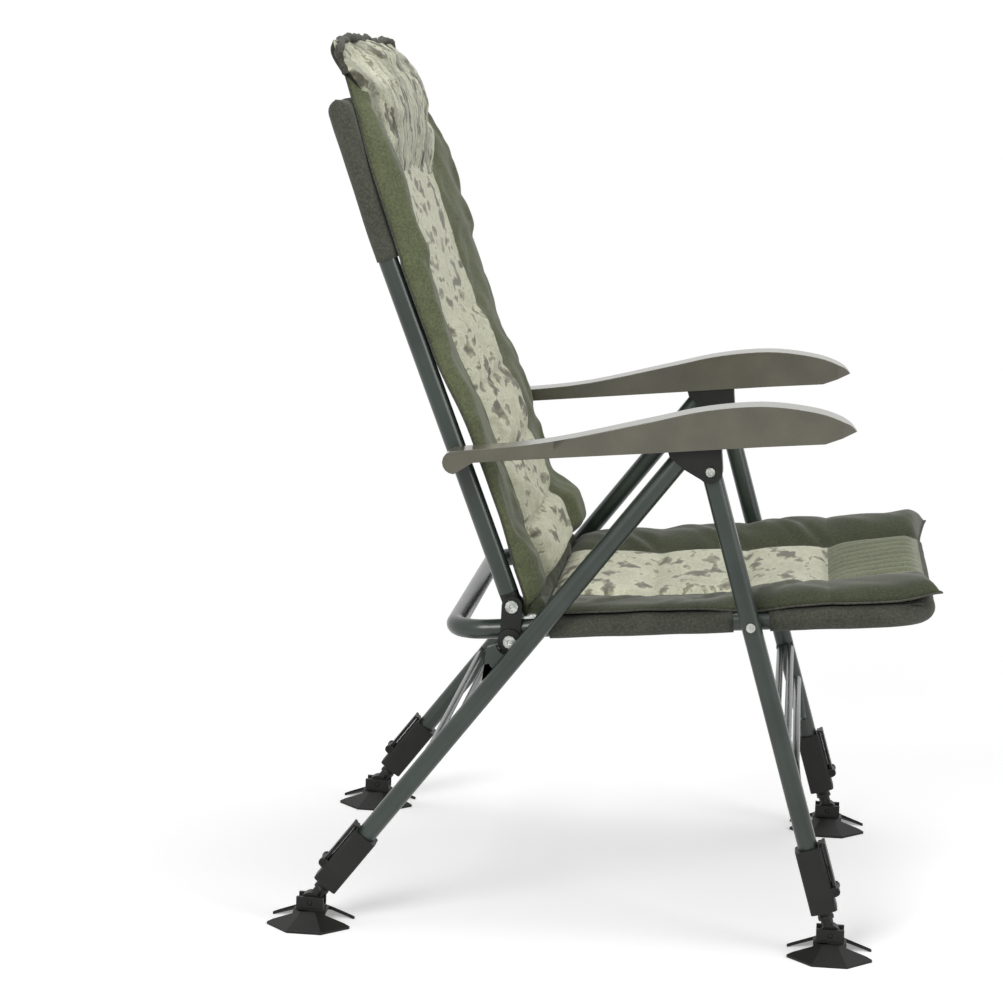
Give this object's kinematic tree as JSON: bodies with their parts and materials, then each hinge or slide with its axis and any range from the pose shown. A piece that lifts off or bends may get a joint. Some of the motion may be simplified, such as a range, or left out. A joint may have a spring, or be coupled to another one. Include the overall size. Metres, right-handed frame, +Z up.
{
  "type": "folding fishing armchair",
  "caption": "Folding recliner for the bank: steel tube frame, hinged back, moulded armrests, padded mattress with head pillow, telescopic legs with swivelling mud feet.",
  "frame": {"origin": "on the floor, under the middle of the whole chair's bounding box", "axes": "+X forward, the way a sitter faces; +Y to the sitter's left; +Z up"},
  "size_m": [0.832, 0.6812, 1.1262],
  "materials": {
    "frame_paint": "dark green-grey gloss powder coat on steel tube",
    "zinc": "bright zinc plated steel",
    "black_plastic": "satin moulded nylon, near black",
    "arm_plastic": "fine-grained olive grey moulding",
    "sleeve_cloth": "coarse woven nylon, hemmed",
    "mattress_cloth": "woven olive polyester over wadding, quilted",
    "printed_cloth": "soft polyester printed with a mottled camouflage"
  },
  "bodies": {
    "seat": {"seat_frame_rear": "frame_paint", "seat_frame_front": "frame_paint", "seat_rear_strap": "zinc", "seat_sling": "sleeve_cloth", "seat_cushion": "mattress_cloth", "hinge_plate_left": "black_plastic", "hinge_plate_right": "black_plastic", "hinge_disc_left": "black_plastic", "hinge_disc_right": "black_plastic", "hinge_lower_bolt_left": "zinc", "hinge_lower_bolt_right": "zinc", "seat_pivot_bolt_left": "zinc", "seat_pivot_bolt_right": "zinc", "back_pivot_bolt_left": "zinc", "back_pivot_bolt_right": "zinc"},
    "front_legs": {"front_leg_tube_left": "frame_paint", "front_leg_tube_right": "frame_paint", "front_cross_brace": "frame_paint", "front_bow_brace": "frame_paint", "clamp_housing_front_left": "black_plastic", "clamp_housing_front_right": "black_plastic"},
    "rear_legs": {"rear_leg_tube_left": "frame_paint", "rear_leg_tube_right": "frame_paint", "rear_cross_brace": "frame_paint", "seat_rest_left": "frame_paint", "seat_rest_right": "frame_paint", "top_bracket_left": "black_plastic", "top_bracket_right": "black_plastic", "top_pivot_bolt_left": "zinc", "top_pivot_bolt_right": "zinc", "clamp_housing_rear_left": "black_plastic", "clamp_housing_rear_right": "black_plastic"},
    "backrest": {"back_frame": "frame_paint", "back_cushion": "mattress_cloth", "headrest_pillow": "printed_cloth", "back_sling": "sleeve_cloth", "back_end_fitting_left": "black_plastic", "back_end_fitting_right": "black_plastic", "arm_pivot_bolt_left": "zinc", "arm_pivot_bolt_right": "zinc"},
    "armrest_left": {"armrest_left": "arm_plastic", "armrest_rack_left": "black_plastic"},
    "armrest_right": {"armrest_right": "arm_plastic", "armrest_rack_right": "black_plastic"},
    "extension_front_left": {"leg_extension_front_left": "black_plastic"},
    "extension_front_right": {"leg_extension_front_right": "black_plastic"},
    "extension_rear_left": {"leg_extension_rear_left": "black_plastic"},
    "extension_rear_right": {"leg_extension_rear_right": "black_plastic"},
    "foot_front_left": {"mud_foot_front_left": "black_plastic", "foot_pin_front_left": "black_plastic"},
    "foot_front_right": {"mud_foot_front_right": "black_plastic", "foot_pin_front_right": "black_plastic"},
    "foot_rear_left": {"mud_foot_rear_left": "black_plastic", "foot_pin_rear_left": "black_plastic"},
    "foot_rear_right": {"mud_foot_rear_right": "black_plastic", "foot_pin_rear_right": "black_plastic"},
    "lever_front_left": {"clamp_lever_front_left": "black_plastic"},
    "lever_front_right": {"clamp_lever_front_right": "black_plastic"},
    "lever_rear_left": {"clamp_lever_rear_left": "black_plastic"},
    "lever_rear_right": {"clamp_lever_rear_right": "black_plastic"}
  },
  "joints": [
    {"name": "fold", "type": "hinge", "parent": "seat", "child": "front_legs", "pos_m": [0.1848, 0, 0.41902], "axis": [0, -1, 0], "range_deg": [0, 68]},
    {"name": "rear_fold", "type": "hinge", "parent": "front_legs", "child": "rear_legs", "pos_m": [0.12675, 0, 0.6125], "axis": [0, -1, 0], "range_deg": [0, 49.8]},
    {"name": "recline", "type": "hinge", "parent": "seat", "child": "backrest", "pos_m": [-0.11676, 0, 0.42375], "axis": [0, -1, 0], "range_deg": [-12, 36]},
    {"name": "arm_recline_left", "type": "hinge", "parent": "backrest", "child": "armrest_left", "pos_m": [-0.19075, 0.2686, 0.61064], "axis": [0, -1, 0], "range_deg": [-25.3, 8.5]},
    {"name": "arm_recline_right", "type": "hinge", "parent": "backrest", "child": "armrest_right", "pos_m": [-0.19075, -0.2686, 0.61064], "axis": [0, -1, 0], "range_deg": [-25.3, 8.5]},
    {"name": "extend_front_left", "type": "slide", "parent": "front_legs", "child": "extension_front_left", "axis": [0.2874, 0, -0.9578], "range_m": [0, 0.1]},
    {"name": "extend_front_right", "type": "slide", "parent": "front_legs", "child": "extension_front_right", "axis": [0.2874, 0, -0.9578], "range_m": [0, 0.1]},
    {"name": "extend_rear_left", "type": "slide", "parent": "rear_legs", "child": "extension_rear_left", "axis": [-0.6032, 0, -0.7976], "range_m": [0, 0.1]},
    {"name": "extend_rear_right", "type": "slide", "parent": "rear_legs", "child": "extension_rear_right", "axis": [-0.6032, 0, -0.7976], "range_m": [0, 0.1]},
    {"name": "foot_tilt_front_left", "type": "hinge", "parent": "extension_front_left", "child": "foot_front_left", "pos_m": [0.30211, 0.287, 0.028], "axis": [0, -1, 0], "range_deg": [-20, 20]},
    {"name": "foot_tilt_front_right", "type": "hinge", "parent": "extension_front_right", "child": "foot_front_right", "pos_m": [0.30211, -0.287, 0.028], "axis": [0, -1, 0], "range_deg": [-20, 20]},
    {"name": "foot_tilt_rear_left", "type": "hinge", "parent": "extension_rear_left", "child": "foot_rear_left", "pos_m": [-0.36244, 0.287, 0.028], "axis": [0, -1, 0], "range_deg": [-20, 20]},
    {"name": "foot_tilt_rear_right", "type": "hinge", "parent": "extension_rear_right", "child": "foot_rear_right", "pos_m": [-0.36244, -0.287, 0.028], "axis": [0, -1, 0], "range_deg": [-20, 20]},
    {"name": "lever_turn_front_left", "type": "hinge", "parent": "front_legs", "child": "lever_front_left", "pos_m": [0.30594, 0.287, 0.08657], "axis": [0, 1, 0], "range_deg": [0, 100]},
    {"name": "lever_turn_front_right", "type": "hinge", "parent": "front_legs", "child": "lever_front_right", "pos_m": [0.30594, -0.287, 0.08657], "axis": [0, 1, 0], "range_deg": [0, 100]},
    {"name": "lever_turn_rear_left", "type": "hinge", "parent": "rear_legs", "child": "lever_rear_left", "pos_m": [-0.34562, 0.287, 0.08423], "axis": [0, -1, 0], "range_deg": [0, 100]},
    {"name": "lever_turn_rear_right", "type": "hinge", "parent": "rear_legs", "child": "lever_rear_right", "pos_m": [-0.34562, -0.287, 0.08423], "axis": [0, -1, 0], "range_deg": [0, 100]}
  ],
  "couplings": [
    {"joint": "rear_fold", "follows": "fold", "ratio": 0.732},
    {"joint": "arm_recline_left", "follows": "recline", "ratio": -0.7},
    {"joint": "arm_recline_right", "follows": "recline", "ratio": -0.7}
  ]
}
